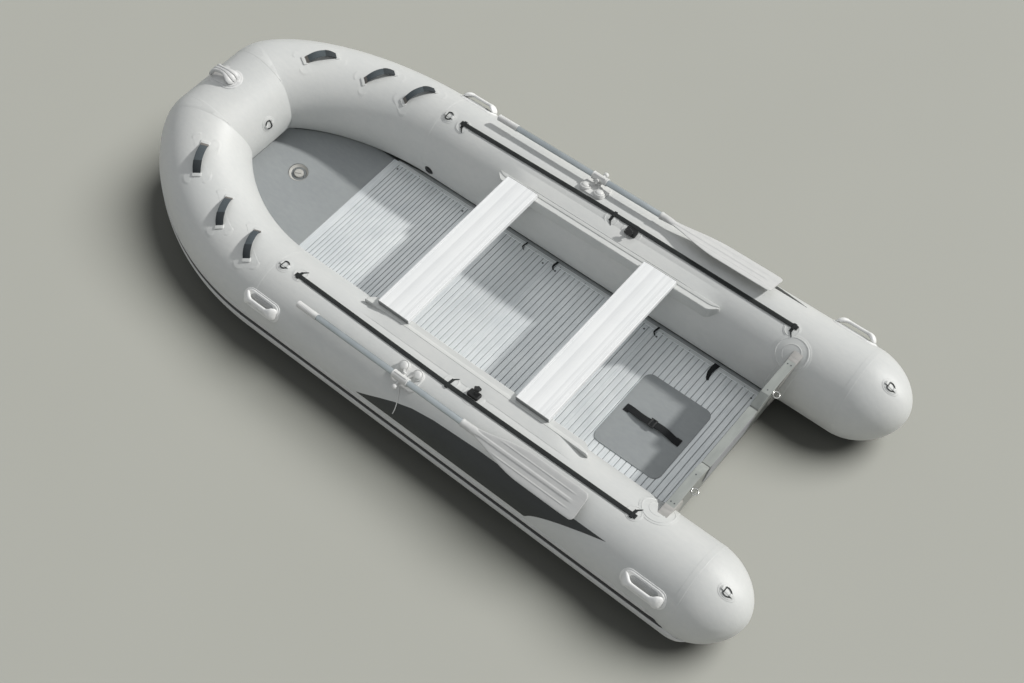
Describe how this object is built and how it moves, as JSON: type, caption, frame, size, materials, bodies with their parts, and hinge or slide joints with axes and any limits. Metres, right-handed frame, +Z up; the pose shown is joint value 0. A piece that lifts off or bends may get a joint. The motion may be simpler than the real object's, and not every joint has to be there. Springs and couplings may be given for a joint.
{
  "type": "inflatable boat",
  "caption": "Inflatable motor tender with side tubes joined round the bow, a folding aluminium floor, transom, sliding bench seats and stowed oars.",
  "frame": {"origin": "middle of the boat's box, on the ground under the side tubes", "axes": "+X towards the bow, +Y to port, +Z up"},
  "size_m": [3.9233, 1.7168, 0.6589],
  "materials": {
    "tube_fabric": "satin coated fabric",
    "grey_fabric": "matt coated fabric",
    "strake_rubber": "matt",
    "floor_aluminium": "satin anodised",
    "bench_aluminium": "satin anodised",
    "oar_aluminium": "satin anodised",
    "transom_board": "satin",
    "steel": "polished",
    "pale_plastic": "satin",
    "dark_plastic": "matt",
    "strap_webbing": "woven",
    "line_webbing": "woven"
  },
  "bodies": {
    "hull": {"tube_bow": "tube_fabric", "hull_bottom": "grey_fabric", "keel_tube": "grey_fabric", "keel_valve": "pale_plastic", "bow_floor": "grey_fabric", "floor_board_1": "floor_aluminium", "floor_board_2": "floor_aluminium", "floor_board_3": "floor_aluminium", "floor_board_4": "floor_aluminium", "transom_board": "transom_board", "motor_pad_aft": "dark_plastic", "motor_pad_fore": "dark_plastic", "rub_strake": "strake_rubber", "bow_handle": "pale_plastic", "d_ring_bow": "steel", "tank_pad": "grey_fabric", "tank_strap": "line_webbing", "tube_port": "tube_fabric", "tube_starboard": "tube_fabric", "stern_cone_port": "tube_fabric", "stern_cone_starboard": "tube_fabric", "stringer_port": "floor_aluminium", "stringer_starboard": "floor_aluminium", "eye_bolt_port": "steel", "eye_bolt_starboard": "steel", "bench_rail_port": "pale_plastic", "bench_rail_starboard": "pale_plastic", "rowlock_port": "pale_plastic", "rowlock_starboard": "pale_plastic", "d_ring_fore_port": "steel", "d_ring_fore_starboard": "steel", "d_ring_aft_port": "steel", "d_ring_aft_starboard": "steel", "carry_handle_fore_port": "pale_plastic", "carry_handle_fore_starboard": "pale_plastic", "carry_handle_aft_port": "pale_plastic", "carry_handle_aft_starboard": "pale_plastic", "lift_strap_1_port": "strap_webbing", "lift_strap_1_starboard": "strap_webbing", "lift_strap_2_port": "strap_webbing", "lift_strap_2_starboard": "strap_webbing", "lift_strap_3_port": "strap_webbing", "lift_strap_3_starboard": "strap_webbing", "lifeline_port": "line_webbing", "lifeline_starboard": "line_webbing", "inflation_valve_port": "dark_plastic", "inflation_valve_starboard": "dark_plastic", "accessory_mount_port": "dark_plastic", "accessory_mount_starboard": "dark_plastic"},
    "bench_fore": {"bench_fore": "bench_aluminium"},
    "bench_aft": {"bench_aft": "bench_aluminium"},
    "oar_port": {"oar_shaft_port": "oar_aluminium", "oar_grip_port": "pale_plastic", "oar_blade_port": "pale_plastic"},
    "oar_starboard": {"oar_shaft_starboard": "oar_aluminium", "oar_grip_starboard": "pale_plastic", "oar_blade_starboard": "pale_plastic"}
  },
  "joints": [
    {"name": "bench_fore_slide", "type": "slide", "parent": "hull", "child": "bench_fore", "axis": [1, 0, 0], "range_m": [-0.1, 0.07]},
    {"name": "bench_aft_slide", "type": "slide", "parent": "hull", "child": "bench_aft", "axis": [1, 0, 0], "range_m": [-0.2, 0.2]},
    {"name": "oar_port_swing", "type": "hinge", "parent": "hull", "child": "oar_port", "pos_m": [-0.1185, 0.72795, 0.4798], "axis": [0, -0.3746, -0.9272], "range_deg": [0, 100]},
    {"name": "oar_starboard_swing", "type": "hinge", "parent": "hull", "child": "oar_starboard", "pos_m": [-0.1185, -0.72795, 0.4798], "axis": [0, -0.3746, 0.9272], "range_deg": [0, 100]}
  ]
}
